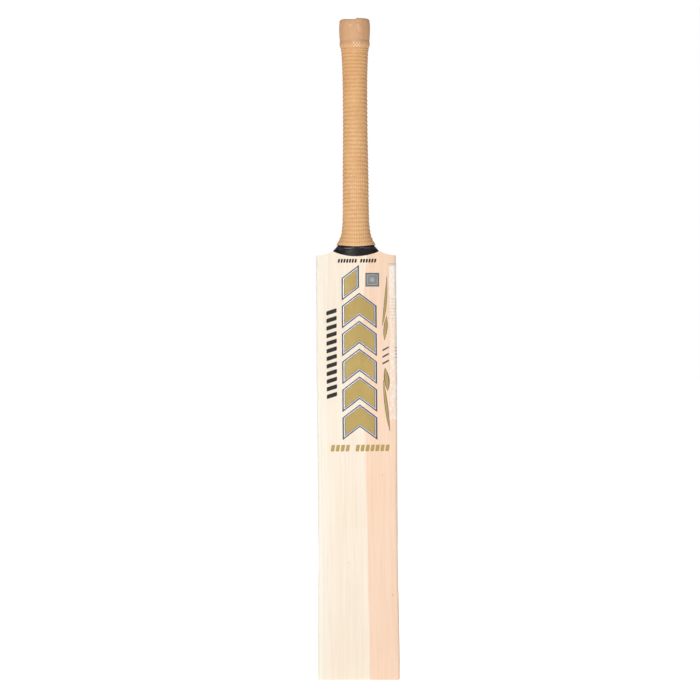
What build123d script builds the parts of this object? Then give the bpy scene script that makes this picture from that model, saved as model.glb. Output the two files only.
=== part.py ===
from build123d import *
import os
from math import cos, pi

# A cricket bat: a willow blade, a cane handle spliced into it, bindings, a rubber grip and labels.
#
# Units are millimetres. +Z runs up the bat, from the toe to the top of the handle. The hitting face
# looks along -Y and the spine stands out along +Y. The origin is the middle of the toe.

# ---- overall sizes
overall_length = 855.0
blade_length = 548.0  # from the toe to the outer corners of the shoulders
toe_thickness = 24.0

# ---- blade
blade_bow = 5.0  # how far the face curves back between the toe and the shoulders
face_crown = 0.6
bell_steps = 6  # points on each side of the back's outline
bell_power = 1.15  # above 1 it draws the spine in
front_roll = 3.6
back_roll = 4.2
toe_round = 2.2
# height, half width, thickness at the edge, thickness at the spine
blade_stations = [
    (0.0, 52.8, 17.0, toe_thickness),
    (45.0, 53.0, 21.5, 35.0),
    (100.0, 52.3, 29.0, 48.5),
    (170.0, 51.5, 35.0, 59.0),
    (240.0, 51.3, 37.0, 62.0),
    (330.0, 51.6, 34.0, 57.0),
    (420.0, 51.7, 28.0, 48.0),
    (500.0, 51.4, 23.0, 40.0),
    (570.0, 51.3, 20.0, 35.6),
]
top_half_width = blade_stations[-1][1]

# ---- shoulders and neck
neck_depth = 17.8  # the handle's axis lies this far behind the face at the shoulders
shoulder_rise = 5.8
shoulder_inner = 30.2  # where the shoulders meet the neck, either side of the middle
shoulder_slopes = (0.12, 0.62)  # rise over run at a shoulder's outer and inner ends
face_dip = 6.6  # how far the face's top edge dips between the shoulders
cut_reach = 80.0
cut_drop = 2.0  # how much lower the cut runs out, well beyond the blade's sides
# height, half width, half depth of the neck's wood, at even heights so that its surface stays fair
neck_stations = [
    (529.0, 34.4, 13.6),
    (535.5, 34.9, 14.9),
    (542.0, 34.5, 15.9),
    (548.5, 32.7, 16.6),
    (555.0, 28.8, 16.9),
    (561.5, 23.3, 16.7),
    (568.0, 19.3, 16.3),
    (574.5, 16.9, 15.8),
    (581.0, 15.8, 15.4),
    (587.5, 15.2, 15.1),
    (594.0, 14.9, 14.9),
]

# ---- handle
neck_top, neck_radius, _ = neck_stations[-1]
handle_top = 852.6
neck_taper = -0.03  # how the radius still changes with height where the handle leaves the neck
# height and radius of the handle's wood above the neck
handle_profile = [
    (neck_top, neck_radius),
    (640.0, 14.3),
    (705.0, 13.6),
    (800.0, 14.4),
    (826.0, 15.6),
    (handle_top, 16.3),
]

# ---- splice between the handle and the blade
splice_tip = 418.0
splice_tip_width = 4.0
splice_shoulder = 560.0  # the V's sides are upright above this height
splice_width = 30.4
splice_collar = 574.0  # the blade's wood ends here, against a small step on the handle
collar_width = 60.0

# ---- canes and the rubber springs between their layers
column_width = 10.0
layer_pitch = 7.95
spring_thickness = 1.8
layer_names = ["front", "inner_front", "inner_back", "back"]
column_names = ["left", "centre", "right"]
spring_names = ["front", "middle", "back"]
slice_reach = 70.0

# ---- twine, binding and grip
binding_thickness = 0.8
binding_top = 567.0  # the binding stops here, under the grip
twine_top = 849.0
grip_wall = 1.8
grip_bottom = 561.2
cuff_bottom = 812.0
cuff_ridge = 824.0
cuff_radius = 20.0
cuff_round = 2.6
grip_mouth_radius = 12.5

# ---- labels
label_thickness = 0.2
label_reach = 70.0
chevron_left = -19.0
chevron_right = 26.0
chevron_bottom = 310.0
chevron_pitch = 36.0
chevron_band = 29.0
chevron_rise = 17.0
chevron_count = 5
square_side = 17.7
square_centre = (20.6, 516.8)
stripe_left = -39.0
stripe_bottom = 363.0
stripe_size = (13.3, 5.4)
stripe_rise = 4.2
stripe_pitch = 9.8
stripe_count = 12
tick_left = -24.0
tick_bottom = 539.0
tick_size = (2.4, 4.8)
tick_lean = 1.0
tick_pitch = 3.6
tick_groups = (7, 6)
bar_left = -34.6
bar_bottom = 295.5
bar_size = (4.6, 8.4)
bar_lean = 1.4
bar_pitch = 6.4
bar_groups = (4, 7)
dash_left = 33.0
dash_bottom = 407.0
dash_size = (8.4, 3.0)
dash_rise = 4.6
dash_pitch = 8.6
dash_count = 3
back_chevron_bottom = 352.0
back_chevron_half = 24.0
back_chevron_count = 3
edge_label_bottom = 336.0
edge_label_top = 538.0
edge_label_back = 8.5
edge_label_wraps = {"left": 1.0, "right": 6.5}  # how far each runs onto the face


def face_y(z):
    """The face's place at a height: upright at the shoulders, and coming forward towards the toe."""
    share = (blade_length - min(z, blade_length)) / blade_length
    return -toe_thickness / 2 + blade_bow * (1 - share**2)


handle_y = face_y(blade_length) + neck_depth
handle_base = Plane((0, handle_y, 0))
handle_side = Plane(origin=(0, handle_y, 0), x_dir=(1, 0, 0), z_dir=(0, -1, 0))
handle_axis = Axis((0, handle_y, 0), (0, 0, 1))

os.makedirs("parts", exist_ok=True)


# ---- the wood, as one shape before it is cut into its pieces ------------------------------------
def blade_section(z, half_width, edge, spine):
    """One cross-section of the blade: crowned face, rolled edges and a bell-shaped back."""
    front = face_y(z)
    back = front + edge
    front_half = half_width - front_roll
    back_half = half_width - back_roll
    corner = 1 - 1 / 2**0.5
    bell = []
    for step in range(bell_steps, -bell_steps - 1, -1):
        share = step / bell_steps
        swell = ((1 + cos(pi * share)) / 2) ** bell_power
        bell.append((back_half * share, back + (spine - edge) * swell))
    with BuildSketch(Plane.XY.offset(z)) as section:
        with BuildLine():
            ThreePointArc((-front_half, front), (0, front - face_crown), (front_half, front))
            for side in (1, -1):
                ThreePointArc(
                    (side * front_half, front),
                    (side * (half_width - front_roll * corner), front + front_roll * corner),
                    (side * half_width, front + front_roll),
                )
                Line((side * half_width, front + front_roll), (side * half_width, back - back_roll))
                ThreePointArc(
                    (side * half_width, back - back_roll),
                    (side * (half_width - back_roll * corner), back - back_roll * corner),
                    (side * back_half, back),
                )
            Spline(*bell, tangents=[(-1, 0), (-1, 0)])
        make_face()
    return section.sketch


def neck_shape(extra):
    """The neck's outer shape, grown by extra all round, for the wood and for what is wound on it."""
    with BuildPart() as neck:
        for z, half_width, half_depth in neck_stations:
            with BuildSketch(handle_base.offset(z)):
                Ellipse(half_width + extra, half_depth + extra)
        loft()
    return neck.part


def handle_shape(extra):
    """The round handle above the neck, grown by extra all round."""
    points = [(radius + extra, z) for z, radius in handle_profile]
    with BuildPart() as handle:
        with BuildSketch(handle_side):
            with BuildLine():
                Spline(*points, tangents=[(neck_taper, 1), (0, 1)])
                Polyline(points[-1], (0, handle_top), (0, neck_top), points[0])
            make_face()
        revolve(axis=handle_axis)
    return handle.part


# everything above the shoulders' line, which falls away from the neck and dips between its sides
shoulder_line = blade_length + shoulder_rise
cut_end = blade_length - cut_drop
with BuildPart() as above_shoulders:
    with BuildSketch(Plane.XZ):
        with BuildLine():
            ThreePointArc(
                (-shoulder_inner, shoulder_line),
                (0, shoulder_line - face_dip),
                (shoulder_inner, shoulder_line),
            )
            for side in (-1, 1):
                Spline(
                    (side * top_half_width, blade_length),
                    (side * shoulder_inner, shoulder_line),
                    tangents=[(-side, slope) for slope in shoulder_slopes],
                )
                Line((side * top_half_width, blade_length), (side * cut_reach, cut_end))
            Polyline(
                (-cut_reach, cut_end),
                (-cut_reach, overall_length),
                (cut_reach, overall_length),
                (cut_reach, cut_end),
            )
        make_face()
    extrude(amount=cut_reach, both=True)

with BuildPart() as blade_body:
    loft([blade_section(*station) for station in blade_stations])
    fillet(blade_body.faces().sort_by(Axis.Z)[0].edges(), toe_round)
    add(above_shoulders.part, mode=Mode.SUBTRACT)

neck_wood = neck_shape(0)
handle_wood = handle_shape(0)
with BuildPart() as wood:
    add(blade_body.part)
    add(neck_wood)
    add(handle_wood)

# the handle's wedge: a V that widens up the blade, then a straight shank with a small collar
with BuildPart() as splice:
    with BuildSketch(Plane.XZ):
        with BuildLine():
            Polyline(
                (-splice_tip_width / 2, splice_tip),
                (-splice_width / 2, splice_shoulder),
                (-splice_width / 2, splice_collar),
                (-collar_width / 2, splice_collar),
                (-collar_width / 2, overall_length),
                (collar_width / 2, overall_length),
                (collar_width / 2, splice_collar),
                (splice_width / 2, splice_collar),
                (splice_width / 2, splice_shoulder),
                (splice_tip_width / 2, splice_tip),
                close=True,
            )
        make_face()
    extrude(amount=slice_reach, both=True)

# ---- blade --------------------------------------------------------------------------------------
with BuildPart() as blade:
    add(wood.part)
    add(splice.part, mode=Mode.SUBTRACT)
blade.part.label = "blade"
export_step(blade.part, "parts/blade.step")

# ---- handle: canes in layers and columns, with a rubber spring between the layers ----------------
with BuildPart() as handle_core:
    add(wood.part)
    add(splice.part, mode=Mode.INTERSECT)


def core_slice(x_range, y_range):
    """What the handle's core holds between two planes each way."""
    width = x_range[1] - x_range[0]
    depth = y_range[1] - y_range[0]
    with BuildPart() as piece:
        add(handle_core.part)
        with BuildSketch(Plane((sum(x_range) / 2, sum(y_range) / 2, 0))):
            Rectangle(width, depth)
        extrude(amount=overall_length, mode=Mode.INTERSECT)
    return piece.part


spring_centres = [handle_y + shift * layer_pitch for shift in (-1, 0, 1)]
spring_ranges = [
    (centre - spring_thickness / 2, centre + spring_thickness / 2) for centre in spring_centres
]
layer_starts = [-slice_reach] + [back for _, back in spring_ranges]
layer_ends = [front for front, _ in spring_ranges] + [slice_reach]
column_ranges = [
    (-collar_width / 2, -column_width / 2),
    (-column_width / 2, column_width / 2),
    (column_width / 2, collar_width / 2),
]

for layer, layer_start, layer_end in zip(layer_names, layer_starts, layer_ends):
    for column, column_range in zip(column_names, column_ranges):
        cane = core_slice(column_range, (layer_start, layer_end))
        cane.label = f"cane_{layer}_{column}"
        export_step(cane, f"parts/{cane.label}.step")

for name, spring_range in zip(spring_names, spring_ranges):
    spring = core_slice((-collar_width / 2, collar_width / 2), spring_range)
    spring.label = f"rubber_spring_{name}"
    export_step(spring, f"parts/{spring.label}.step")

# ---- twine: the thread wound round the handle, as one thin sleeve --------------------------------
bound_neck = neck_shape(binding_thickness)
bound_handle = handle_shape(binding_thickness)
with BuildPart() as handle_twine:
    add(bound_neck)
    add(bound_handle)
    add(neck_wood, mode=Mode.SUBTRACT)
    add(handle_wood, mode=Mode.SUBTRACT)
    split(bisect_by=Plane.XY.offset(binding_top), keep=Keep.TOP)
    split(bisect_by=Plane.XY.offset(twine_top), keep=Keep.BOTTOM)
handle_twine.part.label = "handle_twine"
export_step(handle_twine.part, "parts/handle_twine.step")

# ---- binding round the shoulders ----------------------------------------------------------------
with BuildPart() as shoulder_binding:
    add(bound_neck)
    add(above_shoulders.part, mode=Mode.INTERSECT)
    add(wood.part, mode=Mode.SUBTRACT)
    split(bisect_by=Plane.XY.offset(binding_top), keep=Keep.BOTTOM)
shoulder_binding.part.label = "shoulder_binding"
export_step(shoulder_binding.part, "parts/shoulder_binding.step")

# ---- grip: a rubber sleeve with a thicker cuff that folds over the handle's end ------------------
grip_skin = binding_thickness + grip_wall
grip_neck = neck_shape(grip_skin)
grip_handle = handle_shape(grip_skin)
with BuildPart() as grip:
    add(grip_neck)
    add(grip_handle)
    with BuildSketch(handle_side):
        with BuildLine():
            Polyline(
                (0, cuff_bottom),
                (neck_radius + grip_skin, cuff_bottom),
                (cuff_radius, cuff_ridge),
                (cuff_radius, overall_length),
                (0, overall_length),
                close=True,
            )
        make_face()
    revolve(axis=handle_axis)
    fillet(grip.edges().group_by(Axis.Z)[-1], cuff_round)
    add(bound_neck, mode=Mode.SUBTRACT)
    add(bound_handle, mode=Mode.SUBTRACT)
    with BuildSketch(handle_base.offset(overall_length)):
        Circle(grip_mouth_radius)
    extrude(amount=handle_top - overall_length, mode=Mode.SUBTRACT)
    split(bisect_by=Plane.XY.offset(grip_bottom), keep=Keep.TOP)
grip.part.label = "grip"
export_step(grip.part, "parts/grip.step")


# ---- labels: thin films that follow the wood -----------------------------------------------------
def outline(*points):
    """A straight-sided outline seen from the front, as a sketch."""
    with BuildSketch(Plane.XZ) as shape:
        with BuildLine():
            Polyline(*points, close=True)
        make_face()
    return shape.sketch


def leaf(start, first_side, end, second_side):
    """A pointed leaf between two tips, with one point on each of its two sides."""
    with BuildSketch(Plane.XZ) as shape:
        with BuildLine():
            ThreePointArc(start, first_side, end)
            ThreePointArc(end, second_side, start)
        make_face()
    return shape.sketch


def slanted(left, bottom, size, lean=0.0, rise=0.0):
    """A slanted bar: it leans sideways by lean over its height and rises by rise over its width."""
    width, height = size
    return outline(
        (left, bottom),
        (left + width, bottom + rise),
        (left + width + lean, bottom + rise + height),
        (left + lean, bottom + height),
    )


def chevron(left, right, bottom):
    """A broad chevron that points up the bat."""
    middle = (left + right) / 2
    return outline(
        (left, bottom),
        (middle, bottom + chevron_rise),
        (right, bottom),
        (right, bottom + chevron_band),
        (middle, bottom + chevron_rise + chevron_band),
        (left, bottom + chevron_band),
    )


def bar_row(left, bottom, size, lean, pitch, groups):
    """Slanted bars in a row, in groups that stand one more pitch apart."""
    bars = []
    for index in range(sum(groups)):
        gap = pitch if index >= groups[0] else 0.0
        bars.append(slanted(left + gap + index * pitch, bottom, size, lean=lean))
    return bars


chevron_middle = (chevron_left + chevron_right) / 2
half_width_bar = (chevron_middle - chevron_left, chevron_band)
face_outlines = {
    "face_label_main": [
        chevron(chevron_left, chevron_right, chevron_bottom + index * chevron_pitch)
        for index in range(chevron_count)
    ]
    + [
        slanted(
            chevron_left,
            chevron_bottom + chevron_count * chevron_pitch,
            half_width_bar,
            rise=chevron_rise,
        )
    ],
    "face_label_side": [
        slanted(stripe_left, stripe_bottom + index * stripe_pitch, stripe_size, rise=stripe_rise)
        for index in range(stripe_count)
    ],
    "face_label_square": [
        slanted(
            square_centre[0] - square_side / 2,
            square_centre[1] - square_side / 2,
            (square_side, square_side),
        )
    ],
    "face_label_header": bar_row(
        tick_left, tick_bottom, tick_size, tick_lean, tick_pitch, tick_groups
    ),
    "face_label_footer": bar_row(bar_left, bar_bottom, bar_size, bar_lean, bar_pitch, bar_groups),
    "face_accent_upper": [
        leaf((39.2, 521.0), (34.7, 486.0), (34.0, 458.0), (38.0, 490.0)),
        leaf((39.8, 472.0), (35.2, 456.0), (36.6, 439.5), (41.4, 456.0)),
    ],
    "face_accent_middle": [
        slanted(dash_left, dash_bottom + index * dash_pitch, dash_size, rise=dash_rise)
        for index in range(dash_count)
    ],
    "face_accent_lower": [
        leaf((36.3, 403.0), (35.0, 388.0), (39.6, 373.0), (41.8, 388.0)),
        leaf((34.0, 388.0), (35.8, 352.0), (42.3, 321.0), (39.6, 355.0)),
    ],
}

for name, outlines in face_outlines.items():
    with BuildPart() as film:
        for shape in outlines:
            extrude(shape, amount=label_reach)
        with Locations((0, -label_thickness, 0)):
            add(blade_body.part, mode=Mode.INTERSECT)
        add(blade_body.part, mode=Mode.SUBTRACT)
    film.part.label = name
    export_step(film.part, f"parts/{name}.step")

back_outlines = [
    chevron(-back_chevron_half, back_chevron_half, back_chevron_bottom + index * chevron_pitch)
    for index in range(back_chevron_count)
]
with BuildPart() as back_label:
    for shape in back_outlines:
        extrude(shape, amount=-label_reach)
    with Locations((0, label_thickness, 0)):
        add(blade_body.part, mode=Mode.INTERSECT)
    add(blade_body.part, mode=Mode.SUBTRACT)
back_label.part.label = "back_label"
export_step(back_label.part, "parts/back_label.step")

for side_name, side in (("left", -1), ("right", 1)):
    inner = top_half_width - edge_label_wraps[side_name]
    film_shift = label_thickness / 2**0.5
    with BuildPart() as film:
        with BuildSketch(Plane.XY.offset(edge_label_bottom)):
            with BuildLine():
                Polyline(
                    (side * inner, -toe_thickness),
                    (side * cut_reach, -toe_thickness),
                    (side * cut_reach, edge_label_back),
                    (side * inner, edge_label_back),
                    close=True,
                )
            make_face()
        extrude(amount=edge_label_top - edge_label_bottom)
        with Locations((side * film_shift, -film_shift, 0)):
            add(blade_body.part, mode=Mode.INTERSECT)
        add(blade_body.part, mode=Mode.SUBTRACT)
    film.part.label = f"edge_label_{side_name}"
    export_step(film.part, f"parts/{film.part.label}.step")
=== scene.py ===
import math

import bpy
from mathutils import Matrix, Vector
from mathutils.bvhtree import BVHTree


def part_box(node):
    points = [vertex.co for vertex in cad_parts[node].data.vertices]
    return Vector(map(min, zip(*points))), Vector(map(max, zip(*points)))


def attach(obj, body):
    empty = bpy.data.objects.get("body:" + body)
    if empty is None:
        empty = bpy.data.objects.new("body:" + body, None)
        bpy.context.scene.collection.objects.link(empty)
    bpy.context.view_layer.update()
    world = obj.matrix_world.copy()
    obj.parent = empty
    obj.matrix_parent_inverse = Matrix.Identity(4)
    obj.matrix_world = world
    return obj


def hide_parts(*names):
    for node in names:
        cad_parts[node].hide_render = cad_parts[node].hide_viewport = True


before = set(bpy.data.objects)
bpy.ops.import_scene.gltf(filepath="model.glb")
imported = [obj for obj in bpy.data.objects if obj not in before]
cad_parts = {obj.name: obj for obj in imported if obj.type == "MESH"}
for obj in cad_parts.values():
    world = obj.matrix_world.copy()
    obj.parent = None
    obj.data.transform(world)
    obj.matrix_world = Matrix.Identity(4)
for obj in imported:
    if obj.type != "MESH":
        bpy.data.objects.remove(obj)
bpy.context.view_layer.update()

# Shapes are worked out in millimetres, and MM turns them into metres. Materials, the floor, the
# lights and the camera are in metres.
MM = 0.001
FAR = 0.3  # metres: where the rays that find the CAD surfaces start

# ---- places taken from the frame ----------------------------------------------------------------
grip_low, grip_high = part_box("grip")
binding_low, binding_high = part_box("shoulder_binding")
handle_y = (grip_low.y + grip_high.y) / 2


def surface_of(*nodes):
    """A tree for casting rays at the meshes of some CAD nodes."""
    corners = []
    faces = []
    for node_name in nodes:
        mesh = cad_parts[node_name].data
        first = len(corners)
        corners += [vertex.co.copy() for vertex in mesh.vertices]
        faces += [[first + index for index in face.vertices] for face in mesh.polygons]
    return BVHTree.FromPolygons(corners, faces)


wood_surface = surface_of(*[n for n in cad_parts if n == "blade" or n.startswith("cane_")])
grip_surface = surface_of("grip")
binding_surface = surface_of("shoulder_binding")


def on_face(x, z, lift):
    """A point that stands lift in front of the hitting face; all in mm, the result in metres."""
    hit = wood_surface.ray_cast(Vector((x * MM, -FAR, z * MM)), Vector((0, 1, 0)))[0]
    return Vector((x * MM, hit.y - lift * MM, z * MM))


def on_back(x, z, lift):
    """A point that stands lift behind the back of the blade, along the surface's own slope."""
    hit, normal, _, _ = wood_surface.ray_cast(Vector((x * MM, FAR, z * MM)), Vector((0, -1, 0)))
    return hit + normal * (lift * MM if normal.y > 0 else -lift * MM)


def half_axes(surface, z):
    """Half width and half depth, in mm, of a sleeve round the handle at a height."""
    halves = []
    for direction in (Vector((1, 0, 0)), Vector((0, -1, 0))):
        start = Vector((0, handle_y, z * MM)) + direction * FAR
        hit = surface.ray_cast(start, -direction)[0]
        halves.append((hit - Vector((0, handle_y, z * MM))).length / MM)
    return halves


def ellipse_radius(halves, angle):
    """The radius of an ellipse with the given half axes in one direction."""
    width, depth = halves
    return width * depth / math.hypot(depth * math.cos(angle), width * math.sin(angle))


def smooth_step(value, start, end):
    """0 before start, 1 after end, and a smooth rise between them."""
    share = min(1.0, max(0.0, (value - start) / (end - start)))
    return share * share * (3 - 2 * share)


def between(value, start, full, fading, end):
    """0 outside start and end, 1 between full and fading, with smooth sides."""
    return smooth_step(value, start, full) * (1 - smooth_step(value, fading, end))


def follow(points, position):
    """A smooth curve through a short list of (position, value) pairs, level beyond its ends."""
    position = min(max(position, points[0][0]), points[-1][0])
    index = max(i for i, point in enumerate(points[:-1]) if point[0] <= position)

    def slope(middle):
        before, after = points[max(middle - 1, 0)], points[min(middle + 1, len(points) - 1)]
        return (after[1] - before[1]) / (after[0] - before[0])

    (start, first), (end, second) = points[index], points[index + 1]
    span = end - start
    t = (position - start) / span
    rise = smooth_step(t, 0, 1)
    bend = t * (1 - t) ** 2 * slope(index) - t**2 * (1 - t) * slope(index + 1)
    return first + (second - first) * rise + bend * span


# ---- a small mesh builder -----------------------------------------------------------------------
class Maker:
    """Collects points and faces, then makes one object that rides on the bat."""

    def __init__(self):
        self.points = []
        self.faces = []
        self.slots = []
        self.shades_and_tones = []

    def row(self, points):
        first = len(self.points)
        self.points += [tuple(point) for point in points]
        return list(range(first, first + len(points)))

    def face(self, corners, slot=0):
        self.faces.append(tuple(corners))
        self.slots.append(slot)

    def join(self, lower, upper, slot=0, closed=True):
        """Quads between two rows of the same length."""
        count = len(lower)
        for index in range(count if closed else count - 1):
            after = (index + 1) % count
            self.face((lower[index], lower[after], upper[after], upper[index]), slot)

    def make(self, name, materials, node_name, smooth=True):
        mesh = bpy.data.meshes.new(name)
        mesh.from_pydata(self.points, [], self.faces)
        for material in materials:
            mesh.materials.append(material)
        for polygon, slot in zip(mesh.polygons, self.slots):
            polygon.material_index = slot
            polygon.use_smooth = smooth
        # the grip's shading values paint shade and highlight into its colour
        if self.shades_and_tones:
            shade_and_tone = mesh.attributes.new("shade_and_tone", "FLOAT", "POINT")
            shade_and_tone.data.foreach_set("value", self.shades_and_tones)
        mesh.validate()
        piece = bpy.data.objects.new(name, mesh)
        bpy.context.scene.collection.objects.link(piece)
        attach(piece, "root")
        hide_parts(node_name)


# ---- shader helpers -----------------------------------------------------------------------------
def new_material(name, **values):
    """A material with one Principled shader, and the values that are the same all over it."""
    material = bpy.data.materials.new(name)
    material.use_nodes = True
    shader = material.node_tree.nodes["Principled BSDF"]
    for socket, value in values.items():
        shader.inputs[socket.replace("_", " ")].default_value = value
    return material, material.node_tree, shader


def node(tree, kind, inputs=None, **settings):
    """Adds a shader node; an input is a socket to link or a plain value."""
    made = tree.nodes.new("ShaderNode" + kind)
    for name, value in settings.items():
        setattr(made, name, value)
    for name, value in (inputs or {}).items():
        if isinstance(value, bpy.types.NodeSocket):
            tree.links.new(value, made.inputs[name])
        else:
            made.inputs[name].default_value = value
    return made


def maths(tree, operation, first, second=0.0):
    return node(tree, "Math", {0: first, 1: second}, operation=operation).outputs[0]


def times(tree, first, second):
    return maths(tree, "MULTIPLY", first, second)


def mixed(tree, factor, first, second, blend="MIX"):
    """Two colours mixed; each is a socket or an RGB triple."""
    colours = [c if isinstance(c, bpy.types.NodeSocket) else (*c, 1.0) for c in (first, second)]
    made = node(
        tree,
        "Mix",
        {0: factor, 6: colours[0], 7: colours[1]},
        data_type="RGBA",
        blend_type=blend,
    )
    return made.outputs[2]


def spread(tree, factor, low, high, to_low=0.0, to_high=1.0):
    """A factor stretched from one range to another, and kept inside it."""
    made = node(
        tree,
        "MapRange",
        {"Value": factor, "From Min": low, "From Max": high, "To Min": to_low, "To Max": to_high},
    )
    return made.outputs[0]


def place(tree, stretch=(1.0, 1.0, 1.0)):
    """The bat's own coordinates in metres, stretched along each axis."""
    coordinates = node(tree, "TexCoord").outputs["Object"]
    return node(tree, "Mapping", {"Vector": coordinates, "Scale": stretch}).outputs[0]


def noise(tree, vector, scale, detail=3.0, rough=0.55):
    made = node(
        tree,
        "TexNoise",
        {"Vector": vector, "Scale": scale, "Detail": detail, "Roughness": rough},
    )
    return made.outputs[0]


def bump(tree, shader, height, distance):
    """A bump whose full height is distance, in metres."""
    made = node(tree, "Bump", {"Height": height, "Distance": distance, "Strength": 1.0})
    tree.links.new(made.outputs[0], shader.inputs["Normal"])


# ---- materials ----------------------------------------------------------------------------------
def willow_material():
    """Bleached willow: fine upright fibres, faint growth lines and a pinker heartwood side."""
    material, tree, shader = new_material("willow", Specular_IOR_Level=0.35)
    x, y, z = node(tree, "SeparateXYZ", {"Vector": place(tree)}).outputs
    drift = noise(tree, place(tree, (1.0, 1.0, 0.25)), 9.0, 2.0)
    wander = times(tree, maths(tree, "SUBTRACT", drift, 0.5), 0.012)
    across = maths(tree, "ADD", maths(tree, "ADD", x, times(tree, y, 0.45)), wander)
    lines = node(
        tree,
        "TexWave",
        {"Vector": node(tree, "CombineXYZ", {"X": across}).outputs[0], "Scale": 32.0},
        bands_direction="X",
        wave_profile="SAW",
    ).outputs["Fac"]
    growth = spread(tree, lines, 0.86, 1.0)
    fibres = noise(tree, place(tree, (1.0, 1.0, 0.018)), 620.0, 4.0, 0.65)
    streaks = noise(tree, place(tree, (1.0, 1.0, 0.03)), 120.0, 3.0)
    clouds = noise(tree, place(tree, (1.0, 1.0, 0.4)), 16.0, 2.0)

    # the heartwood's border runs almost upright, nearer the middle at the top
    border_at_toe = 0.0146
    border_lean = 0.0137
    border = maths(tree, "SUBTRACT", border_at_toe, times(tree, z, border_lean))
    wavy_x = maths(tree, "ADD", x, times(tree, wander, 0.25))
    heart = spread(tree, maths(tree, "SUBTRACT", wavy_x, border), -0.0006, 0.0010)
    cloud = spread(tree, clouds, 0.3, 0.7)
    sap_colour = mixed(tree, cloud, (0.845, 0.735, 0.605), (0.87, 0.785, 0.675))
    pale_side = spread(tree, maths(tree, "ADD", x, wander), -0.036, -0.050)
    sap_colour = mixed(tree, times(tree, pale_side, 0.7), sap_colour, (0.87, 0.835, 0.745))
    heart_colour = mixed(tree, cloud, (0.84, 0.60, 0.44), (0.865, 0.65, 0.50))
    colour = mixed(tree, heart, sap_colour, heart_colour)

    # grain
    plain = (1.0, 1.0, 1.0)
    streak_tone = mixed(tree, spread(tree, streaks, 0.35, 0.65), (0.968, 0.952, 0.935), plain)
    colour = mixed(tree, 1.0, colour, streak_tone, "MULTIPLY")
    fibre_tone = mixed(tree, spread(tree, fibres, 0.3, 0.6), (0.952, 0.93, 0.90), plain)
    colour = mixed(tree, 1.0, colour, fibre_tone, "MULTIPLY")
    colour = mixed(tree, times(tree, growth, 0.14), colour, (0.62, 0.42, 0.28))
    specks = noise(tree, place(tree, (1.0, 1.0, 0.3)), 150.0, 1.0)
    speck = spread(tree, specks, 0.80, 0.84)
    colour = mixed(tree, times(tree, speck, 0.55), colour, (0.36, 0.22, 0.13))

    # pin knots: across, height and radius, in metres
    knots = ((0.0318, 0.265, 0.0012), (0.0446, 0.110, 0.0014), (-0.012, 0.152, 0.0008))
    for knot_x, knot_z, size in knots:
        beside = maths(tree, "SUBTRACT", x, knot_x)
        above = times(tree, maths(tree, "SUBTRACT", z, knot_z), 0.6)
        away = node(tree, "CombineXYZ", {"X": beside, "Z": above}).outputs[0]
        reach = node(tree, "VectorMath", {0: away}, operation="LENGTH").outputs["Value"]
        on_knot = spread(tree, reach, size, size * 0.3, 0.0, 0.5)
        colour = mixed(tree, on_knot, colour, (0.55, 0.27, 0.18))

    # the upper half is a little duller
    upper = spread(tree, z, 0.34, 0.48)
    duller = mixed(tree, 1.0, colour, (0.955, 0.955, 0.945), "MULTIPLY")
    colour = mixed(tree, upper, colour, duller)
    tree.links.new(colour, shader.inputs["Base Color"])
    tree.links.new(spread(tree, fibres, 0.2, 0.8, 0.58, 0.44), shader.inputs["Roughness"])
    bump(tree, shader, maths(tree, "ADD", fibres, times(tree, growth, 0.35)), 0.00006)
    return material


def cane_material():
    """Split cane, sanded and oiled: nearly as pale as the willow, with close upright pores."""
    material, tree, shader = new_material("cane", Specular_IOR_Level=0.4)
    fibres = noise(tree, place(tree, (1.0, 1.0, 0.03)), 900.0, 4.0, 0.7)
    broad = noise(tree, place(tree, (1.0, 1.0, 0.2)), 60.0, 2.0)
    pores = node(
        tree, "TexVoronoi", {"Vector": place(tree, (1.0, 1.0, 0.04)), "Scale": 1100.0}
    ).outputs["Distance"]
    colour = mixed(tree, broad, (0.82, 0.685, 0.535), (0.86, 0.745, 0.61))
    colour = mixed(tree, spread(tree, fibres, 0.35, 0.6, 0.16, 0.0), colour, (0.55, 0.38, 0.23))
    colour = mixed(tree, spread(tree, pores, 0.0, 0.22, 0.30, 0.0), colour, (0.42, 0.28, 0.17))
    tree.links.new(colour, shader.inputs["Base Color"])
    tree.links.new(spread(tree, fibres, 0.2, 0.8, 0.65, 0.45), shader.inputs["Roughness"])
    bump(tree, shader, fibres, 0.00006)
    return material


def rubber_strip_material():
    """Black rubber sheet between the canes."""
    material, tree, shader = new_material("rubber_strip", Specular_IOR_Level=0.3)
    grain = noise(tree, place(tree), 1400.0, 3.0)
    colour = mixed(tree, grain, (0.018, 0.018, 0.018), (0.05, 0.05, 0.048))
    tree.links.new(colour, shader.inputs["Base Color"])
    tree.links.new(spread(tree, grain, 0.3, 0.7, 0.62, 0.8), shader.inputs["Roughness"])
    bump(tree, shader, grain, 0.00004)
    return material


def twine_material():
    """Waxed thread, wound close round the handle."""
    material, tree, shader = new_material("twine", Specular_IOR_Level=0.3)
    turns = node(
        tree,
        "TexWave",
        {"Vector": place(tree), "Scale": 420.0, "Distortion": 0.6, "Detail": 1.0},
        bands_direction="Z",
    ).outputs["Fac"]
    fuzz = noise(tree, place(tree), 1800.0, 3.0)
    colour = mixed(tree, turns, (0.42, 0.36, 0.27), (0.74, 0.68, 0.56))
    colour = mixed(tree, spread(tree, fuzz, 0.4, 0.7, 0.0, 0.3), colour, (0.85, 0.80, 0.70))
    tree.links.new(colour, shader.inputs["Base Color"])
    tree.links.new(spread(tree, fuzz, 0.3, 0.7, 0.6, 0.85), shader.inputs["Roughness"])
    bump(tree, shader, turns, 0.00025)
    return material


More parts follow.
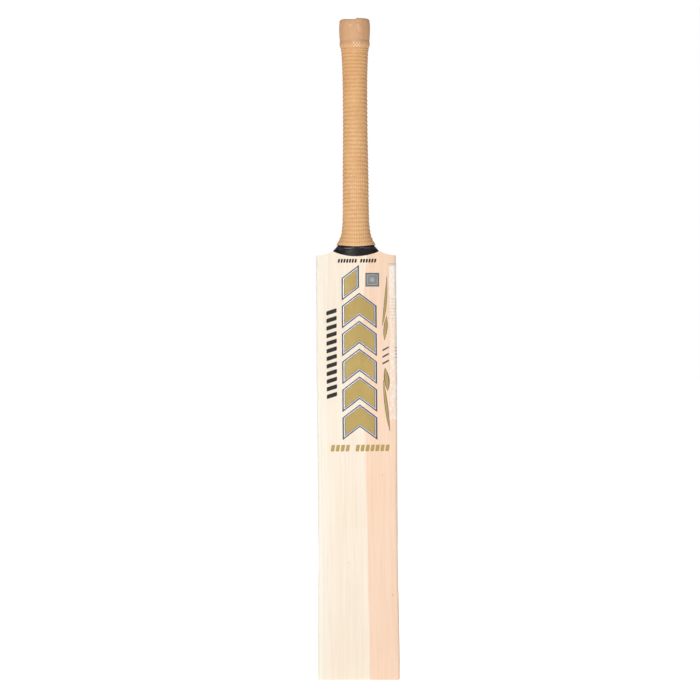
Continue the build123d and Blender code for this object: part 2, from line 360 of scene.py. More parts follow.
def grip_material():
    """Tan rubber, softly mottled, browner towards the top, with a pinker cuff, and painted shade
    between the ribs.

    The mesh's shading value paints shade, browner, where it is above 0, and a highlight, paler,
    where it is below.
    """
    material, tree, shader = new_material("grip_rubber", Specular_IOR_Level=0.32)
    shade_and_tone = node(tree, "Attribute", attribute_name="shade_and_tone").outputs["Fac"]
    mottle = noise(tree, place(tree, (1.0, 1.0, 0.6)), 70.0, 3.0)
    blotch = noise(tree, place(tree, (1.0, 1.0, 0.45)), 230.0, 2.0)
    skin = noise(tree, place(tree), 1500.0, 4.0, 0.7)
    z = node(tree, "SeparateXYZ", {"Vector": place(tree)}).outputs["Z"]
    mottling = spread(tree, mottle, 0.35, 0.65)
    colour = mixed(tree, mottling, (0.685, 0.380, 0.166), (0.725, 0.435, 0.200))
    colour = mixed(tree, spread(tree, blotch, 0.45, 0.7, 0.0, 0.4), colour, (0.75, 0.43, 0.25))
    browner = mixed(tree, 1.0, colour, (0.91, 0.87, 0.79), "MULTIPLY")
    colour = mixed(tree, spread(tree, z, 0.60, 0.79), colour, browner)
    blotches = spread(tree, blotch, 0.35, 0.7)
    cuff_colour = mixed(tree, blotches, (0.565, 0.335, 0.185), (0.66, 0.365, 0.215))
    colour = mixed(tree, spread(tree, z, 0.812, 0.822, 0.0, 0.8), colour, cuff_colour)
    colour = mixed(tree, spread(tree, skin, 0.35, 0.65, 0.25, 0.0), colour, (0.50, 0.26, 0.11))
    # painted shade where the mesh's value is above 0, painted highlight where it is below
    colour = mixed(tree, spread(tree, shade_and_tone, 0.05, 1.0, 0.0, 0.85), colour, (0.33, 0.155, 0.055))
    colour = mixed(tree, spread(tree, shade_and_tone, 0.0, -0.9, 0.0, 0.85), colour, (0.93, 0.66, 0.43))
    tree.links.new(colour, shader.inputs["Base Color"])
    tree.links.new(spread(tree, skin, 0.3, 0.7, 0.52, 0.72), shader.inputs["Roughness"])
    bump(tree, shader, skin, 0.00007)
    return material


def binding_material():
    """Glossy black tape, pulled tight, with fine stretch lines along each turn and painted
    highlight streaks on the upper turns.
    """
    material, tree, shader = new_material("binding_tape", Specular_IOR_Level=0.10)
    stretch = noise(tree, place(tree, (0.12, 0.12, 1.0)), 900.0, 3.0, 0.6)
    dents = noise(tree, place(tree), 140.0, 2.0)
    colour = mixed(tree, stretch, (0.010, 0.009, 0.010), (0.026, 0.024, 0.026))
    # painted highlight: thin pale streaks along the upper turns
    z = node(tree, "SeparateXYZ", {"Vector": place(tree)}).outputs["Z"]
    highlight_streaks = noise(tree, place(tree, (0.13, 0.13, 1.7)), 900.0, 2.0)
    highlight_band = times(tree, spread(tree, z, 0.5560, 0.5572), spread(tree, z, 0.5597, 0.5585))
    painted_highlight = times(tree, spread(tree, highlight_streaks, 0.50, 0.68), highlight_band)
    colour = mixed(tree, times(tree, painted_highlight, 0.9), colour, (0.25, 0.245, 0.25))
    tree.links.new(colour, shader.inputs["Base Color"])
    tree.links.new(spread(tree, stretch, 0.3, 0.7, 0.24, 0.38), shader.inputs["Roughness"])
    bump(tree, shader, maths(tree, "ADD", times(tree, stretch, 0.35), dents), 0.00022)
    return material


def film_material(name, low, high, rough, **values):
    """Printed film: a colour that shimmers a little between two tones."""
    material, tree, shader = new_material(name, **values)
    flakes = node(tree, "TexVoronoi", {"Vector": place(tree), "Scale": 900.0}).outputs["Color"]
    level = node(tree, "SeparateColor", {"Color": flakes}).outputs[0]
    rub = noise(tree, place(tree, (1.0, 1.0, 0.3)), 240.0, 3.0)
    satin = noise(tree, place(tree, (1.0, 1.0, 0.25)), 60.0, 2.0)
    sheen = spread(tree, satin, 0.3, 0.7, 0.0, 0.55)
    colour = mixed(tree, maths(tree, "ADD", times(tree, level, 0.45), sheen), low, high)
    colour = mixed(tree, spread(tree, rub, 0.66, 0.8, 0.0, 0.2), colour, (0.75, 0.66, 0.54))
    tree.links.new(colour, shader.inputs["Base Color"])
    tree.links.new(spread(tree, rub, 0.3, 0.7, rough, rough + 0.14), shader.inputs["Roughness"])
    bump(tree, shader, maths(tree, "ADD", times(tree, level, 0.4), rub), 0.00003)
    return material


def security_film_material():
    """A silver sticker with a close grid and a faint play of colours."""
    material, tree, shader = new_material("security_film", Metallic=0.55)
    grid = node(
        tree,
        "TexChecker",
        {"Vector": place(tree), "Scale": 900.0, "Color1": (1, 1, 1, 1), "Color2": (0, 0, 0, 1)},
    ).outputs["Fac"]
    hue = node(
        tree,
        "TexWave",
        {"Vector": place(tree), "Scale": 26.0, "Distortion": 5.0, "Detail": 1.0},
        bands_direction="DIAGONAL",
    ).outputs["Fac"]
    colour = mixed(tree, hue, (0.115, 0.13, 0.14), (0.155, 0.15, 0.145))
    colour = mixed(tree, times(tree, grid, 0.3), colour, (0.24, 0.26, 0.25))
    tree.links.new(colour, shader.inputs["Base Color"])
    tree.links.new(spread(tree, hue, 0.0, 1.0, 0.28, 0.42), shader.inputs["Roughness"])
    bump(tree, shader, grid, 0.00002)
    return material


def edge_film_material():
    """Clear film for the blade's edges, white in flecks and a little whiter towards the top, with
    slanted stripes beside.
    """
    material, tree, shader = new_material("edge_film", Specular_IOR_Level=0.5)
    x, y, z = node(tree, "SeparateXYZ", {"Vector": place(tree)}).outputs
    flecks = noise(tree, place(tree, (1.0, 1.0, 0.45)), 420.0, 3.0, 0.6)
    whitening = maths(tree, "ADD", flecks, spread(tree, z, 0.46, 0.54, 0.0, 0.10))
    heart = maths(tree, "GREATER_THAN", x, 0.0)
    wood_tone = mixed(tree, heart, (0.83, 0.76, 0.655), (0.80, 0.61, 0.48))
    white = spread(tree, whitening, 0.46, 0.64, 0.0, 0.85)
    colour = mixed(tree, white, wood_tone, (0.81, 0.79, 0.735))

    # a gold stripe and a thin dark one, over and over, on the side only
    stripe_pitch = 0.0185
    gold_share = 0.16
    dark_middle = 0.27
    dark_half = 0.03
    slope = maths(tree, "ADD", z, times(tree, y, 0.9))
    phase = maths(tree, "FRACT", maths(tree, "DIVIDE", slope, stripe_pitch))
    beside = spread(tree, y, -0.0045, -0.0043)
    gold = times(tree, maths(tree, "LESS_THAN", phase, gold_share), beside)
    off_line = maths(tree, "ABSOLUTE", maths(tree, "SUBTRACT", phase, dark_middle))
    dark = times(tree, maths(tree, "LESS_THAN", off_line, dark_half), beside)
    colour = mixed(tree, gold, colour, (0.42, 0.31, 0.08))
    colour = mixed(tree, dark, colour, (0.03, 0.03, 0.03))

    # two groups of short marks on the face: middle height, half height, where they start across,
    # and their colour and strength
    mark_pitch = 0.0042
    mark_share = 0.3
    groups = (
        (0.479, 0.014, 0.0, (0.36, 0.40, 0.28), 0.35),
        (0.4225, 0.0085, 0.0492, (0.26, 0.15, 0.13), 0.75),
    )
    mark_phase = maths(tree, "FRACT", maths(tree, "DIVIDE", z, mark_pitch))
    rows = maths(tree, "LESS_THAN", mark_phase, mark_share)
    front_rows = times(tree, rows, maths(tree, "SUBTRACT", 1.0, beside))
    for middle_z, half, from_x, tint, strength in groups:
        off_middle = maths(tree, "ABSOLUTE", maths(tree, "SUBTRACT", z, middle_z))
        near = maths(tree, "LESS_THAN", off_middle, half)
        group = times(tree, near, maths(tree, "GREATER_THAN", x, from_x))
        marks = times(tree, group, front_rows)
        colour = mixed(tree, times(tree, marks, strength), colour, tint)
    tree.links.new(colour, shader.inputs["Base Color"])
    tree.links.new(spread(tree, flecks, 0.3, 0.7, 0.30, 0.45), shader.inputs["Roughness"])
    bump(tree, shader, flecks, 0.00003)
    return material


willow = willow_material()
cane = cane_material()
gold_film = film_material("gold_film", (0.33, 0.225, 0.050), (0.42, 0.30, 0.085), 0.4, Metallic=0.2)
silver_film = film_material(
    "silver_film", (0.42, 0.45, 0.50), (0.55, 0.58, 0.63), 0.3, Metallic=0.4
)
slate_film = film_material(
    "slate_film", (0.030, 0.034, 0.052), (0.055, 0.060, 0.085), 0.36, Specular_IOR_Level=0.3
)
black_film = film_material(
    "black_film", (0.006, 0.006, 0.006), (0.014, 0.014, 0.013), 0.4, Specular_IOR_Level=0.2
)
security_film = security_film_material()
edge_film = edge_film_material()
rim_film = film_material("rim_film", (0.07, 0.075, 0.08), (0.11, 0.115, 0.12), 0.4, Metallic=0.3)
dome_film = film_material("dome_film", (0.22, 0.24, 0.24), (0.30, 0.32, 0.32), 0.4, Metallic=0.3)


def assign(material, *nodes):
    """Gives CAD nodes a better material."""
    for node_name in nodes:
        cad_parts[node_name].data.materials[0] = material


assign(willow, "blade")
assign(cane, *[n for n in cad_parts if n.startswith("cane_")])
assign(rubber_strip_material(), *[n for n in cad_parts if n.startswith("rubber_spring_")])
assign(twine_material(), "handle_twine")


# ---- grip ---------------------------------------------------------------------------------------
def make_grip():
    """The rubber grip: rings of ribs with fine upright bars, a bead at the lower rim and a cuff."""
    columns = 216
    bars = 36
    wall = 1.9
    rim_dip = 1.1
    mouth_radius = 12.5
    corner = 2.3
    corner_steps = 6
    cuff_length = 39.5
    cuff_rows = 62
    seam_below = 28.4
    bottom = grip_low.z / MM
    top = grip_high.z / MM
    ribs_start = bottom + 3.4
    cuff_start = top - cuff_length
    # how far apart the ribs are, and where the rows of points lie between two crests
    pitches = [(bottom, 5.0), (bottom + 80, 5.3), (top - 110, 5.3), (cuff_start, 4.4)]
    rib_rows = (0.0, 0.18, 0.33, 0.45, 0.55, 0.67, 0.82)
    # the ribs' height in front and what their sides add, and the bars' depth on and between them
    rib_height = 0.40
    side_height = 0.38
    bar_depth = 0.10
    notch_depth = 0.24
    # the top edge is lower left of the middle, and comes back up towards the far left
    left_drop = 1.5
    far_left_rise = 0.8
    # heights below the top, and the cuff's radius there
    cuff_outline = [(cuff_length, 17.1), (37.0, 18.3), (33.5, 19.5), (30.5, 19.4), (28.6, 19.15)]
    cuff_outline += [(25.0, 19.5), (13.0, 20.1), (6.3, 19.8), (corner, 19.4)]
    cuff_profile = [(top - below, radius) for below, radius in cuff_outline]
    edge_radius = cuff_profile[-1][1] - corner
    # heights above the lower rim, and the bead's relief there
    bead = [(0.0, -1.5), (0.0, -1.1), (0.25, -0.7), (0.8, -0.4), (1.6, -0.3), (2.4, -0.35)]
    bead += [(3.0, -0.6)]
    # the ring at the cuff's foot starts, is full, fades and ends at these heights
    low_ring_span = (top - 38, top - 36, top - 31, top - 29)
    # the checked patch on it: its relief, and how wide and high a pair of checks is
    check_height = 0.25
    check_width = 3.8
    check_rise = 4.4
    # short raised marks under the cuff's top: places across, the first one's height and the steps
    mark_places = (4.2, 5.4, 6.6, -5.4)
    first_mark_below = 9.5
    mark_step = 3.3
    # heights of the inner wall's rows, closer together where the sleeve flares
    inner_heights = (top - 2.4, 800.0, 720.0, 640.0, 594.0, 580.0, 571.0, bottom + 3.0)
    angles = [2 * math.pi * column / columns for column in range(columns)]

    def settled(angle, z):
        """The height after the pull of the shoulders below and the uneven top edge above."""
        pull = rim_dip * math.cos(2 * angle) * (1 - smooth_step(z, bottom, bottom + 45))
        sway = 0.28 * math.sin(angle + z * 0.045) + 0.16 * math.sin(3 * angle + z * 0.11)
        sway *= between(z, bottom + 4, bottom + 20, top - 45, top - 36)
        across = cuff_profile[-1][1] * math.cos(angle)
        drop = left_drop * (1 - smooth_step(across, 0.5, 4.0))
        drop -= far_left_rise * smooth_step(-across, 5.0, 16.0)
        return z + pull + sway - drop * smooth_step(z, top - 9, top)

    def ring(z, shape):
        """A row of points; shape gives a radius and a shading value from an angle and the plain
        radius;
        the value paints shade above 0 and a highlight below.
        """
        halves = half_axes(grip_surface, min(max(z, bottom + 0.1), top - 3.0))
        points = []
        for angle in angles:
            radius, shade_and_tone = shape(angle, ellipse_radius(halves, angle))
            out = radius * MM
            height = settled(angle, z) * MM
            points.append((out * math.cos(angle), handle_y + out * math.sin(angle), height))
            maker.shades_and_tones.append(shade_and_tone)
        return maker.row(points)

    def bead_shape(relief):
        """The bead round the lower rim, lightly barred, with a painted highlight where it and its
        bars stand out.
        """

        def shape(angle, plain):
            bar = math.cos(bars * angle)
            # painted highlight on the bead where it and its bars stand out
            return plain + relief + 0.14 * bar, -0.45 * max(relief + 0.7, 0.0) - 0.12 * bar

        return shape

    def rib_shape(z, phase):
        """One row of a rib; its bars fade up the grip, with painted shade in its grooves and
        notches and a painted highlight on its crests.
        """
        ridge = 0.5 + 0.5 * math.cos(2 * math.pi * phase)
        groove = (1 - ridge) ** 1.5
        crisp = 1 - 0.62 * smooth_step(z, bottom + 70, bottom + 190)

        def shape(angle, plain):
            worn = 0.82 + 0.18 * math.sin(2.0 * angle + z * 0.07)
            gap = (0.5 - 0.5 * math.cos(bars * angle)) * crisp
            rise = rib_height + side_height * abs(math.cos(angle)) ** 3
            radius = plain + rise * (worn * ridge - 0.7)
            radius -= gap * (bar_depth + notch_depth * (1 - ridge))
            # painted shade in the notches between the bars, most down in the grooves, and a painted
            # highlight on the crests
            shade_and_tone = groove * (0.50 * gap**2 - 0.08) + 0.10 * gap - 0.07 * ridge
            return radius, shade_and_tone * worn

        return shape

    def cuff_front(across, z):
        """What the front of the cuff adds to the radius and the shading: a paler checked patch, a
        fold and marks, with a painted highlight on what stands out and painted shade in what is
        sunk.
        """
        patch = between(across, -3.0, -2.0, 7.2, 8.2) * between(z, *low_ring_span)
        check = math.cos(2 * math.pi * (across - 2.6) / check_width)
        check *= math.cos(2 * math.pi * z / check_rise)
        fold = between(across, 8.0, 12.0, 13.5, 17.5)
        fold *= between(z, top - 30, top - 26, top - 10, top - 5)
        # painted shade in the sunken fold and sunken checks, painted highlight on the raised checks
        relief = check_height * patch * check - 0.16 * fold * (1 + 0.5 * math.sin(z * 0.8))
        shade_and_tone = 0.16 * fold - patch * (0.22 + 0.75 * check)
        for number, place_across in enumerate(mark_places):
            aside = across - place_across
            above = z - (top - first_mark_below - mark_step * (number % 3))
            mark = 1 - smooth_step(math.hypot(aside / 2.2, above - 0.3 * aside), 0.4, 1.3)
            relief += 0.22 * mark
            # painted highlight on the raised mark
            shade_and_tone -= 0.4 * mark
        return relief, shade_and_tone

    def cuff_shape(z):
        """One row of the cuff: a barred ring at its foot, a groove above that with painted shade in
        it, darker towards the right, and a smooth wall.
        """
        low_ring = between(z, *low_ring_span)
        ease = smooth_step(z, cuff_start, cuff_start + 1.5)
        seam_shade = 1 - smooth_step(abs(z - top + seam_below), 0.3, 1.2)
        outline_radius = follow(cuff_profile, z)

        def shape(angle, plain):
            across = outline_radius * math.cos(angle)
            radius = outline_radius + 0.09 * low_ring * math.cos(bars * angle)
            # painted shade along the groove, stronger towards the right
            shade_and_tone = (0.12 + 0.28 * smooth_step(across, 1.0, 8.0)) * seam_shade
            if math.sin(angle) < 0:
                relief, shade = cuff_front(across, z)
                radius += relief
                shade_and_tone += shade
            return plain * (1 - ease) + radius * ease, shade_and_tone

        return shape

    def smooth_ring(radius):
        return lambda angle, plain: (radius, 0.0)

    maker = Maker()
    rows = [ring(bottom + height, bead_shape(relief)) for height, relief in bead]
    rib = ribs_start
    while rib < cuff_start - 1.0:
        pitch = min(follow(pitches, rib), cuff_start - rib)
        rows += [ring(rib + pitch * phase, rib_shape(rib, phase)) for phase in rib_rows]
        rib += pitch
    for step in range(cuff_rows + 1):
        z = cuff_start + (top - corner - cuff_start) * step / cuff_rows
        rows.append(ring(z, cuff_shape(z)))
    for step in range(1, corner_steps + 1):
        turn = math.pi / 2 * step / corner_steps
        height = top - corner + corner * math.sin(turn)
        rows.append(ring(height, smooth_ring(edge_radius + corner * math.cos(turn))))
    # across the top, down the wall of the mouth and back along the inside
    mouth = [(0.0, edge_radius - 2.0), (0.15, mouth_radius + 0.5)]
    mouth += [(0.6, mouth_radius), (2.4, mouth_radius)]
    rows += [ring(top - below, smooth_ring(radius)) for below, radius in mouth]
    for z in inner_heights:
        halves = half_axes(grip_surface, min(z, cuff_start - 8.0))
        points = []
        for angle in angles:
            out = (ellipse_radius(halves, angle) - wall) * MM
            points.append((out * math.cos(angle), handle_y + out * math.sin(angle), z * MM))
            maker.shades_and_tones.append(0.0)
        rows.append(maker.row(points))
    for lower, upper in zip(rows, rows[1:] + rows[:1]):
        maker.join(lower, upper)
    maker.make("grip_ribbed", [grip_material()], "grip")


make_grip()


# ---- shoulder binding ---------------------------------------------------------------------------
def make_binding():
    """Black tape round the neck: a few overlapping turns above the shoulders' dipping line."""
    columns = 180
    steps = 36
    samples = 40
    dip = 6.6
    shoulder_inner = 30.2
    neck_flare = 0.55
    turn_pitch = 4.4
    turn_height = 0.22
    skin = 0.9
    past_end = 0.9
    margin = 0.2
    low = binding_low.z / MM
    high = binding_high.z / MM
    arc_radius = (shoulder_inner**2 + dip**2) / (2 * dip)

    def lower_edge(x):
        x = min(abs(x), shoulder_inner + past_end)
        return low + arc_radius - math.sqrt(arc_radius**2 - x**2)

    # the sleeve is measured only above the shoulders' ends, where it goes all the way round
    span = high - low - 2 * margin
    heights = [low + margin + span * step / samples for step in range(samples + 1)]
    heights = [z for z in heights if z > low + dip + 1.2]
    sleeve = [half_axes(binding_surface, z) for z in heights]
    first_height = heights[0]

    def halves_at(z):
        """Half axes of the tape; below the shoulders' ends they follow the neck's own outline."""
        if z < first_height:
            more = (first_height - z) * neck_flare
            return [sleeve[0][0] + more, sleeve[0][1]]
        share = (z - first_height) / (high - margin - first_height) * (len(sleeve) - 1)
        index = min(int(share), len(sleeve) - 2)
        mix = share - index
        return [a + (b - a) * mix for a, b in zip(sleeve[index], sleeve[index + 1])]

    maker = Maker()
    rows = []
    for step in range(steps + 1):
        points = []
        for column in range(columns):
            angle = 2 * math.pi * column / columns
            # the height and the width there depend on each other, so both settle in a few rounds
            z = low + 3.0
            for _ in range(4):
                x = ellipse_radius(halves_at(z), angle) * math.cos(angle)
                start = lower_edge(x)
                z = start + (high - start) * step / steps
            turn = (z + turn_pitch * angle / (2 * math.pi)) / turn_pitch
            relief = turn_height * (turn % 1.0) - 0.1
            relief += 0.05 * math.sin(5 * angle + z * 0.9)
            radius = (ellipse_radius(halves_at(z), angle) + relief) * MM
            points.append((radius * math.cos(angle), handle_y + radius * math.sin(angle), z * MM))
        rows.append(maker.row(points))
    # the inner wall, one skin in from the top row and then from the lowest
    for source, lift in ((rows[-1], 0.0), (rows[0], -0.4)):
        points = []
        for index in source:
            x, y, z = maker.points[index]
            out = Vector((x, y - handle_y, 0))
            out.length -= skin * MM
            points.append((out.x, handle_y + out.y, z + lift * MM))
        rows.append(maker.row(points))
    for lower, upper in zip(rows, rows[1:] + rows[:1]):
        maker.join(lower, upper)
    maker.make("binding_tape", [binding_material()], "shoulder_binding")


make_binding()


# ---- labels -------------------------------------------------------------------------------------
def panel(maker, spot, u_cuts, v_cuts, surface, lifts, slots):
    """A closed film over a grid. spot(u, v) gives x and z in mm; the frame's rings take their lifts
    and materials in order from the outside in, and the last of each fills the middle."""
    last_u = len(u_cuts) - 1
    last_v = len(v_cuts) - 1
    top = []
    under = []
    for j, v in enumerate(v_cuts):
        line = [spot(u, v) for u in u_cuts]
        rings = [min(i, last_u - i, j, last_v - j, len(lifts) - 1) for i in range(last_u + 1)]
        top.append(maker.row([surface(x, z, lifts[ring]) for (x, z), ring in zip(line, rings)]))
        under.append(maker.row([surface(x, z, -0.1) for x, z in line]))
    for j in range(last_v):
        for i in range(last_u):
            ring = min(i, last_u - 1 - i, j, last_v - 1 - j, len(slots) - 1)
            square = ((j, i), (j, i + 1), (j + 1, i + 1), (j + 1, i))
            maker.face([top[a][b] for a, b in square], slots[ring])
            maker.face([under[a][b] for a, b in reversed(square)], slots[0])
    around = [(0, i) for i in range(last_u)]
    around += [(j, last_u) for j in range(last_v)]
    around += [(last_v, i) for i in range(last_u, 0, -1)]
    around += [(j, 0) for j in range(last_v, 0, -1)]
    for (a, b), (c, d) in zip(around, around[1:] + around[:1]):
        maker.face((under[a][b], under[c][d], top[c][d], top[a][b]), slots[0])


def framed_cuts(length, frames, inner):
    """Cuts across a framed strip, as shares of its length: the frames' widths, then even steps."""
    edge = sum(frames)
    cuts = [sum(frames[:count]) / length for count in range(len(frames) + 1)]
    cuts += [(edge + (length - 2 * edge) * step / inner) / length for step in range(1, inner)]
    return cuts + [1 - cut for cut in reversed(cuts[: len(frames) + 1])]


def plate(maker, outline, surface, lift, slot=0):
    """A small closed film with the given outline, in mm, listed anticlockwise from outside."""
    top = maker.row([surface(x, z, lift) for x, z in outline])
    under = maker.row([surface(x, z, -0.1) for x, z in outline])
    maker.face(top, slot)
    maker.face(list(reversed(under)), slot)
    maker.join(under, top, slot)


def on_curve(start, pull, end, t):
    """A point on the curve from start to end that leans towards pull."""
    return start * (1 - t) ** 2 + pull * (2 * t * (1 - t)) + end * t**2


def rounded(corners, radius):
    """A polygon with its corners rounded off by short curves."""
    steps = 4
    outline = []
    for index, corner in enumerate(corners):
        before = corners[index - 1]
        after = corners[(index + 1) % len(corners)]
        here = Vector(corner)
        ends = []
        for other in (before, after):
            away = Vector(other) - here
            ends.append(here + away.normalized() * min(radius, away.length * 0.45))
        for step in range(steps + 1):
            outline.append(tuple(on_curve(ends[0], here, ends[1], step / steps)))
    return outline


def slanted(left, bottom, width, height, lean=0.0, rise=0.0):
    """The corners of a slanted bar."""
    return [
        (left, bottom),
        (left + width, bottom + rise),
        (left + width + lean, bottom + rise + height),
        (left + lean, bottom + height),
    ]


def bar_label(name, node_name, material, bars, round_by):
    """A row of rounded bars as one piece."""
    maker = Maker()
    for bar in bars:
        plate(maker, rounded(bar, round_by), on_face, 0.2)
    maker.make(name, [material], node_name, smooth=False)


chevron_pitch = 36.0
chevron_band = 29.0
chevron_rise = 17.0
# the frames' widths, the lifts of the edge and of what each frame surrounds, and the materials
label_frames = [1.8, 1.1, 0.6]
label_lifts = [0.08, 0.2, 0.23, 0.2]
label_materials = [slate_film, silver_film, gold_film]
label_slots = [0, 1, 0, 2]


def chevron_panel(maker, left, right, bottom, surface, steps):
    """One framed chevron that points up the bat; steps is how finely it follows the surface."""
    width = right - left

    def spot(u, v):
        rise = chevron_rise * (1 - abs(2 * u - 1))
        return left + width * u, bottom + rise + chevron_band * v

    u_cuts = framed_cuts(width, label_frames, steps)
    v_cuts = framed_cuts(chevron_band, label_frames, 4)
    panel(maker, spot, u_cuts, v_cuts, surface, label_lifts, label_slots)


def make_main_label():
    """Five gold chevrons up the face, and half a chevron above them."""
    whole = 5
    low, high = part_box("face_label_main")
    left, right, bottom = low.x / MM, high.x / MM, low.z / MM
    maker = Maker()
    for index in range(whole):
        chevron_panel(maker, left, right, bottom + index * chevron_pitch, on_face, 6)
    half = (right - left) / 2
    start = bottom + whole * chevron_pitch

    def spot(u, v):
        return left + half * u, start + chevron_rise * u + chevron_band * v

    u_cuts = framed_cuts(half, label_frames, 3)
    v_cuts = framed_cuts(chevron_band, label_frames, 4)
    panel(maker, spot, u_cuts, v_cuts, on_face, label_lifts, label_slots)
    maker.make("label_main", label_materials, "face_label_main", smooth=False)


def make_back_label():
    """Three gold chevrons on the back, bent over the spine."""
    low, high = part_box("back_label")
    left, right, bottom = low.x / MM, high.x / MM, low.z / MM
    maker = Maker()
    for index in range(3):
        chevron_panel(maker, left, right, bottom + index * chevron_pitch, on_back, 20)
    maker.make("label_back", label_materials, "back_label", smooth=False)


def bar_column(node_name, count, pitch, width, height, rise):
    """Slanted bars, one above the other, up from the node's lowest corner."""
    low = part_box(node_name)[0] / MM
    return [slanted(low.x, low.z + pitch * k, width, height, rise=rise) for k in range(count)]


def bar_line(node_name, count, pitch, width, height, lean, gap_at):
    """Leaning bars side by side, with one bar's gap before the one that gap_at numbers."""
    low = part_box(node_name)[0] / MM
    places = [low.x + pitch * (k + (k >= gap_at)) for k in range(count)]
    return [slanted(left, low.z, width, height, lean=lean) for left in places]


def make_bar_labels():
    """The black column, the two lines and the three slim ticks between the accents."""
    side = bar_column("face_label_side", 12, pitch=9.8, width=13.3, height=5.4, rise=4.2)
    bar_label("label_side", "face_label_side", black_film, side, 1.3)
    header = bar_line("face_label_header", 13, pitch=3.6, width=2.4, height=4.8, lean=1.0, gap_at=7)
    bar_label("label_header", "face_label_header", black_film, header, 0.6)
    footer = bar_line("face_label_footer", 11, pitch=6.4, width=4.6, height=8.4, lean=1.4, gap_at=4)
    bar_label("label_footer", "face_label_footer", gold_film, footer, 1.1)
    ticks = bar_column("face_accent_middle", 3, pitch=8.6, width=8.4, height=2.2, rise=4.6)
    bar_label("accent_middle", "face_accent_middle", slate_film, ticks, 1.0)


def circle(x, z, radius):
    """An outline of even points round a circle."""
    count = 40
    turns = [2 * math.pi * index / count for index in range(count)]
    return [(x + radius * math.cos(turn), z + radius * math.sin(turn)) for turn in turns]


def make_square_label():
    """A plain silver square with a rim, and a small dome inside two rings."""
    frames = [2.2, 0.3]
    low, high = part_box("face_label_square")
    left, bottom = low.x / MM, low.z / MM
    side = (high.x - low.x) / MM
    middle = (left + side / 2, bottom + side / 2)
    maker = Maker()

    def spot(u, v):
        return left + side * u, bottom + side * v

    cuts = framed_cuts(side, frames, 3)
    panel(maker, spot, cuts, cuts, on_face, [0.12, 0.2, 0.2], [1, 2, 0])
    for radius, lift, slot in ((4.6, 0.26, 1), (4.2, 0.3, 0), (3.1, 0.34, 3)):
        plate(maker, circle(*middle, radius), on_face, lift, slot)
    materials = [security_film, rim_film, silver_film, dome_film]
    maker.make("label_square", materials, "face_label_square", smooth=False)


def arc_through(start, side, end, count):
    """Points along a gentle arc through three points."""
    start, side, end = Vector(start), Vector(side), Vector(end)
    pull = side * 2 - (start + end) / 2
    return [on_curve(start, pull, end, step / count) for step in range(count + 1)]


def leaf_panel(maker, tip, left_side, foot, right_side):
    """One pointed leaf with a dark edge and a gold middle."""
    count = 16
    tip_width = 0.25
    left = arc_through(tip, left_side, foot, count)
    right = arc_through(tip, right_side, foot, count)

    def spot(u, v):
        index = round(v * count)
        here = left[index].lerp(right[index], u)
        return tuple(here + Vector(((u - 0.5) * tip_width, 0.0)))

    u_cuts = [0.0, 0.16, 0.5, 0.84, 1.0]
    v_cuts = [step / count for step in range(count, -1, -1)]
    panel(maker, spot, u_cuts, v_cuts, on_face, [0.05, 0.22], [0, 1])


def make_accent(level, leaves):
    """Thin leaves, each by its tip, left side, foot and right side: how far those are from the
    bat's middle line, and how high above the foot of the accent's box."""
    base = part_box(f"face_accent_{level}")[0].z / MM
    maker = Maker()
    for leaf in leaves:
        leaf_panel(maker, *[(x, base + height) for x, height in leaf])
    materials = [slate_film, gold_film]
    maker.make(f"accent_{level}", materials, f"face_accent_{level}", smooth=False)


upper_leaves = (
    ((39.4, 82.5), (35.0, 40.5), (33.0, 17.5), (38.7, 44.5)),
    ((38.6, 30.5), (34.9, 14.5), (35.8, -1.0), (39.8, 15.5)),
)
lower_leaves = (
    ((36.3, 82.0), (35.0, 67.0), (39.6, 52.0), (41.8, 67.0)),
    ((34.0, 67.0), (35.8, 31.0), (42.3, 0.0), (39.6, 34.0)),
)


def make_edge_label(side_name, side, start_degrees):
    """Film on one edge of the blade, wrapped a little way round onto the face."""
    end_degrees = 38.0
    around = 26
    along = 40
    film_lift = 0.16
    end_lift = 0.03
    # the rays that find the edge start from an upright line inside it
    inset = 8.2
    focus_y = 2.0 * MM
    low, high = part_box(f"edge_label_{side_name}")
    focus_x = side * (max(abs(low.x), abs(high.x)) - inset * MM)

    def sheet_row(z, lift):
        points = []
        for i in range(around + 1):
            angle = math.radians(start_degrees + (end_degrees - start_degrees) * i / around)
            direction = Vector((side * math.cos(angle), math.sin(angle), 0))
            hit = wood_surface.ray_cast(Vector((focus_x, focus_y, z)), direction)[0]
            points.append(hit + direction * lift * MM)
        return maker.row(points)

    def rim_of(sheet):
        """The sheet's border, once round."""
        last_column = [row[-1] for row in reversed(sheet)]
        return [row[0] for row in sheet] + sheet[-1][1:-1] + last_column + sheet[0][-2:0:-1]

    maker = Maker()
    top = []
    under = []
    for j in range(along + 1):
        z = low.z + (high.z - low.z) * j / along
        top.append(sheet_row(z, film_lift if 0 < j < along else end_lift))
        under.append(sheet_row(z, -0.1))
    right_side = side > 0
    for sheet, faces_out in ((top, right_side), (under, not right_side)):
        for lower, upper in zip(sheet, sheet[1:]):
            first, second = (lower, upper) if faces_out else (upper, lower)
            maker.join(first, second, closed=False)
    rims = [rim_of(under), rim_of(top)]
    if right_side:
        rims.reverse()
    maker.join(*rims)
    maker.make(f"edge_film_{side_name}", [edge_film], f"edge_label_{side_name}")


make_main_label()
make_back_label()
make_bar_labels()
make_square_label()
make_accent("upper", upper_leaves)
make_accent("lower", lower_leaves)
make_edge_label("left", -1, -52.0)
make_edge_label("right", 1, -98.0)


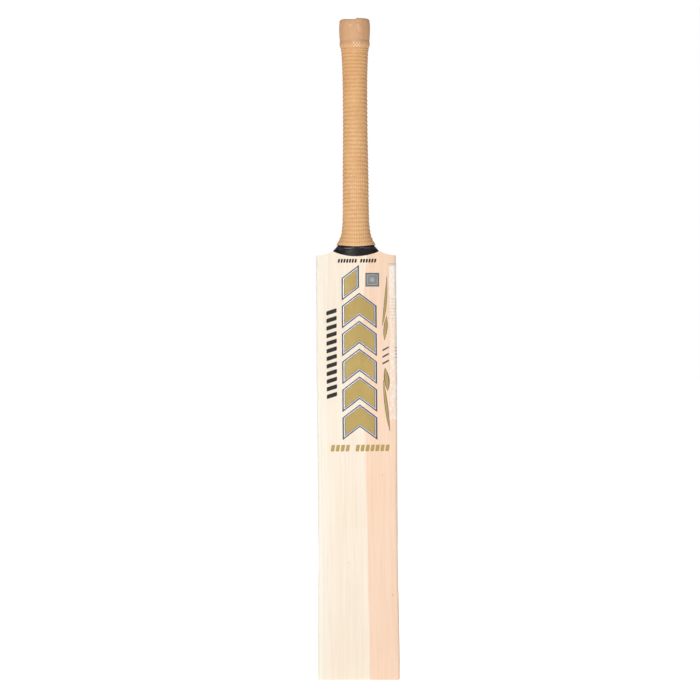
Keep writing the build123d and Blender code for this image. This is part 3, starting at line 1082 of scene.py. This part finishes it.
# ---- studio -------------------------------------------------------------------------------------
def make_floor():
    """A wide pale floor, bright enough to read as white."""
    size = 30.0
    mesh = bpy.data.meshes.new("floor")
    corners = [(-size, -size, 0), (size, -size, 0), (size, size, 0), (-size, size, 0)]
    mesh.from_pydata(corners, [], [(0, 1, 2, 3)])
    material, tree, shader = new_material("floor", Roughness=0.9, Base_Color=(0.88, 0.88, 0.88, 1))
    shader.inputs["Emission Color"].default_value = (1, 1, 1, 1)
    seen = node(tree, "LightPath").outputs["Is Camera Ray"]
    tree.links.new(spread(tree, seen, 0.0, 1.0, 0.66, 0.92), shader.inputs["Emission Strength"])
    mesh.materials.append(material)
    floor = bpy.data.objects.new("floor", mesh)
    bpy.context.scene.collection.objects.link(floor)


def make_world():
    """A white surround: full white to the eye, and softer as a light."""
    world = bpy.data.worlds.new("studio")
    world.use_nodes = True
    tree = world.node_tree
    background = tree.nodes["Background"]
    background.inputs["Color"].default_value = (1, 1, 1, 1)
    seen = node(tree, "LightPath").outputs["Is Camera Ray"]
    strength = spread(tree, seen, 0.0, 1.0, 0.15, 1.0)
    tree.links.new(strength, background.inputs["Strength"])
    bpy.context.scene.world = world


def soft_light(name, position, aim, size, watts):
    """A square soft box at a place, pointed at another."""
    light = bpy.data.lights.new(name, "AREA")
    light.size = size
    light.energy = watts
    box = bpy.data.objects.new(name, light)
    box.location = position
    box.rotation_euler = (Vector(aim) - Vector(position)).to_track_quat("-Z", "Y").to_euler()
    box.visible_camera = False
    bpy.context.scene.collection.objects.link(box)


def make_camera():
    """Straight at the face from far off, turned a little so that the bat leans as it should."""
    distance = 3.6
    field = 0.903  # metres across the picture at the bat
    aside = -0.0087
    height = 0.4263
    roll = math.radians(0.38)
    camera = bpy.data.cameras.new("camera")
    camera.sensor_width = 36.0
    face_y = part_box("face_label_main")[0].y
    camera.lens = camera.sensor_width * distance / field
    eye = bpy.data.objects.new("camera", camera)
    eye.location = (aside, face_y - distance, height)
    eye.rotation_euler = (math.pi / 2, roll, 0)
    bpy.context.scene.collection.objects.link(eye)
    bpy.context.scene.camera = eye


make_floor()
make_world()
middle = (0.0, 0.0, 0.45)
soft_light("key", (-0.7, -2.3, 0.72), middle, 0.9, 31.2)
soft_light("fill", (1.5, -1.8, 0.7), middle, 1.2, 3.0)
soft_light("overhead", (0.0, 0.1, 2.6), middle, 1.8, 8.0)
soft_light("back", (0.3, 2.5, 1.1), middle, 1.4, 26.0)
make_camera()
bpy.context.scene.view_settings.view_transform = "Standard"
